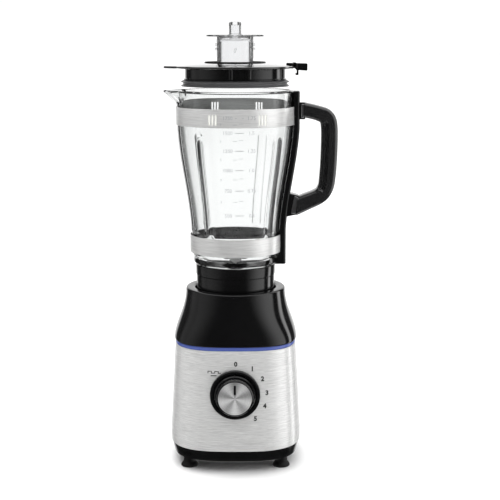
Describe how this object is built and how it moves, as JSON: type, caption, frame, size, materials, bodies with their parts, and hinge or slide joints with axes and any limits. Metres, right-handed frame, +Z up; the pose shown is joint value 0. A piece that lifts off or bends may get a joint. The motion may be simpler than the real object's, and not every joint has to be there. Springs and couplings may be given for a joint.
{
  "type": "countertop blender",
  "caption": "Countertop blender with a brushed steel motor base, lit ring, speed dial, glass jug with handle, blade unit, latching lid and measuring cap.",
  "frame": {"origin": "on the standing surface, under the middle of the whole outline; the drive axis stands 17.85 mm to -X and 6.1 mm to +Y of it", "axes": "+Z up along the drive axis; -Y is the front with the speed dial; +X is the handle side, -X the spout side"},
  "size_m": [0.207, 0.1722, 0.526],
  "materials": {
    "black_gloss": "polished black moulded plastic",
    "black_matte": "satin black moulded plastic",
    "brushed_steel": "stainless steel with a fine level grain",
    "cast_zinc": "die-cast, as cast",
    "blue_light": "translucent blue light guide",
    "clear_glass": "clear pressed glass",
    "clear_plastic": "clear moulded plastic",
    "grey_silicone": "soft translucent grey silicone",
    "black_rubber": "matt black rubber",
    "circuit_board": "green laminate",
    "white_plastic": "natural white plastic",
    "turned_steel": "turned bright steel",
    "motor_iron": "stamped laminations",
    "copper": "enamelled copper wire",
    "bronze": "sintered bronze",
    "carbon": "pressed carbon",
    "coupling_plastic": "glass-filled black nylon"
  },
  "bodies": {
    "base": {"lower_housing": "black_gloss", "foot_front_left": "black_rubber", "foot_front_right": "black_rubber", "foot_rear_left": "black_rubber", "foot_rear_right": "black_rubber", "steel_shell": "brushed_steel", "light_ring": "blue_light", "led_board": "circuit_board", "upper_housing": "black_gloss", "seat_cushion": "black_rubber", "shaft_seal": "black_rubber", "knob_bezel": "black_gloss", "rotary_switch": "white_plastic", "control_board": "circuit_board", "cord_gland": "black_rubber", "housing_screws": "turned_steel", "motor_stator": "motor_iron", "field_coils": "copper", "motor_bracket_upper": "cast_zinc", "motor_bracket_lower": "cast_zinc", "motor_tie_rods": "turned_steel", "motor_bushings": "black_rubber", "motor_screws": "turned_steel", "bearing_upper": "bronze", "bearing_lower": "bronze", "brush_holders": "bronze", "carbon_brushes": "carbon"},
    "drive": {"motor_shaft": "turned_steel", "armature_core": "motor_iron", "armature_windings": "copper", "commutator": "copper", "cooling_fan": "white_plastic", "drive_coupling": "coupling_plastic"},
    "dial": {"knob_body": "black_gloss", "knob_face": "brushed_steel", "knob_pointer": "black_matte", "dial_shaft": "turned_steel"},
    "jug": {"glass_jar": "clear_glass", "upper_band": "brushed_steel", "lower_band": "brushed_steel", "handle_spine": "black_matte", "handle_shell_front": "black_matte", "handle_shell_rear": "black_matte", "grip_insert": "black_matte", "handle_screws": "turned_steel"},
    "blade_unit": {"blade_collar": "black_gloss", "jar_gasket": "grey_silicone", "bearing_sleeve": "bronze", "blade_seal": "grey_silicone"},
    "blades": {"blade_upper": "brushed_steel", "blade_lower": "brushed_steel", "blade_shaft": "turned_steel", "blade_nut": "turned_steel", "driven_coupling": "coupling_plastic"},
    "lid": {"lid_body": "black_gloss", "lid_plug": "black_gloss", "lid_gasket": "grey_silicone", "latch_pin": "turned_steel"},
    "latch": {"latch_lever": "black_gloss"},
    "cap": {"measuring_cap": "clear_plastic"}
  },
  "joints": [
    {"name": "motor_spin", "type": "hinge", "parent": "base", "child": "drive", "pos_m": [-0.01785, 0.0061, 0.1], "axis": [0, 0, 1], "continuous": true},
    {"name": "dial_turn", "type": "hinge", "parent": "base", "child": "dial", "pos_m": [-0.01785, -0.0739, 0.0965], "axis": [0, 1, 0], "range_deg": [-45, 150]},
    {"name": "jug_lift", "type": "slide", "parent": "base", "child": "jug", "axis": [0, 0, 1], "range_m": [0, 0.04]},
    {"name": "blade_unit_turn", "type": "hinge", "parent": "jug", "child": "blade_unit", "pos_m": [-0.01785, 0.0061, 0.22], "axis": [0, 0, 1], "range_deg": [0, 30]},
    {"name": "blade_spin", "type": "hinge", "parent": "jug", "child": "blades", "pos_m": [-0.01785, 0.0061, 0.23], "axis": [0, 0, 1], "continuous": true},
    {"name": "lid_lift", "type": "slide", "parent": "jug", "child": "lid", "axis": [0, 0, 1], "range_m": [-0.0244, 0.04]},
    {"name": "latch_swing", "type": "hinge", "parent": "lid", "child": "latch", "pos_m": [0.05215, 0.0061, 0.4765], "axis": [0, -1, 0], "range_deg": [0, 35]},
    {"name": "cap_lift", "type": "slide", "parent": "lid", "child": "cap", "axis": [0, 0, 1], "range_m": [-0.0323, 0.02]}
  ],
  "couplings": [
    {"joint": "blade_spin", "follows": "motor_spin", "ratio": 1}
  ]
}
